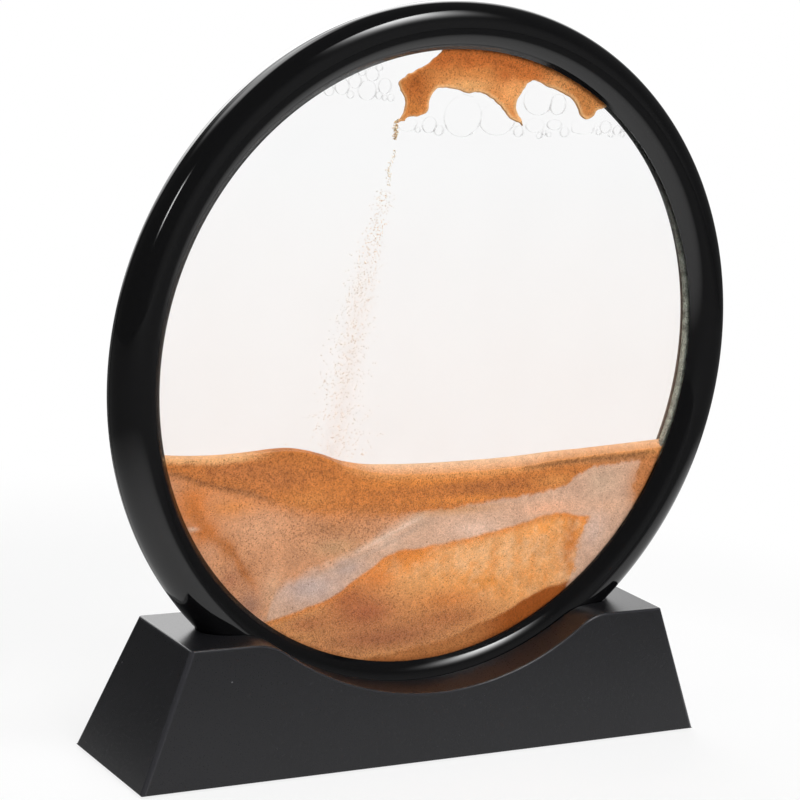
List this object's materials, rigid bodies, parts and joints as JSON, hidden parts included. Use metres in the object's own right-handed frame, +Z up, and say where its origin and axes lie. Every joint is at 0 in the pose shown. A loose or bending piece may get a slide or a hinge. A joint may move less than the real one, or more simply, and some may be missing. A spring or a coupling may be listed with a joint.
{
  "type": "moving sand art frame",
  "caption": "Round black frame with a glass cell of water and coloured sand, standing in the slotted saddle of a tapered base; the frame turns in its slot and lifts out.",
  "frame": {"origin": "on the table, under the middle of the base", "axes": "+Z up, +X to the right along the base, +Y from the front of the picture to the back"},
  "size_m": [0.18, 0.0376, 0.1902],
  "materials": {
    "base_shell": "satin black ABS",
    "base_cover": "matte black ABS",
    "screw": "plain steel",
    "foot": "black rubber",
    "bezel": "gloss black ABS",
    "glass": "clear",
    "spacer": "dark sealant",
    "plug": "sealant plug",
    "sand_dune": "orange sand",
    "sand_pale": "pale sand",
    "sand_blush": "mixed orange and pale sand",
    "sand_speckled": "orange sand with dark grains",
    "sand_clump": "orange sand",
    "water": "clear liquid"
  },
  "bodies": {
    "base": {"base_shell": "base_shell", "base_bottom_cover": "base_cover", "base_screw_front_left": "screw", "base_screw_front_right": "screw", "base_screw_rear_left": "screw", "base_screw_rear_right": "screw", "rubber_foot_front_left": "foot", "rubber_foot_front_right": "foot", "rubber_foot_rear_left": "foot", "rubber_foot_rear_right": "foot"},
    "sandscape": {"sand_dune": "sand_dune", "sand_pale": "sand_pale", "sand_blush": "sand_blush", "sand_speckled": "sand_speckled", "sand_clump": "sand_clump", "water_fill": "water"},
    "frame": {"front_bezel": "bezel", "rear_bezel": "bezel", "front_glass": "glass", "rear_glass": "glass", "cell_spacer": "spacer", "filling_plug": "plug"}
  },
  "joints": [
    {"name": "frame_lift", "type": "slide", "parent": "base", "child": "sandscape", "axis": [0, 0, 1], "range_m": [0, 0.04]},
    {"name": "frame_spin", "type": "hinge", "parent": "sandscape", "child": "frame", "pos_m": [0, 0, 0.1002], "axis": [0, 1, 0], "continuous": true}
  ]
}
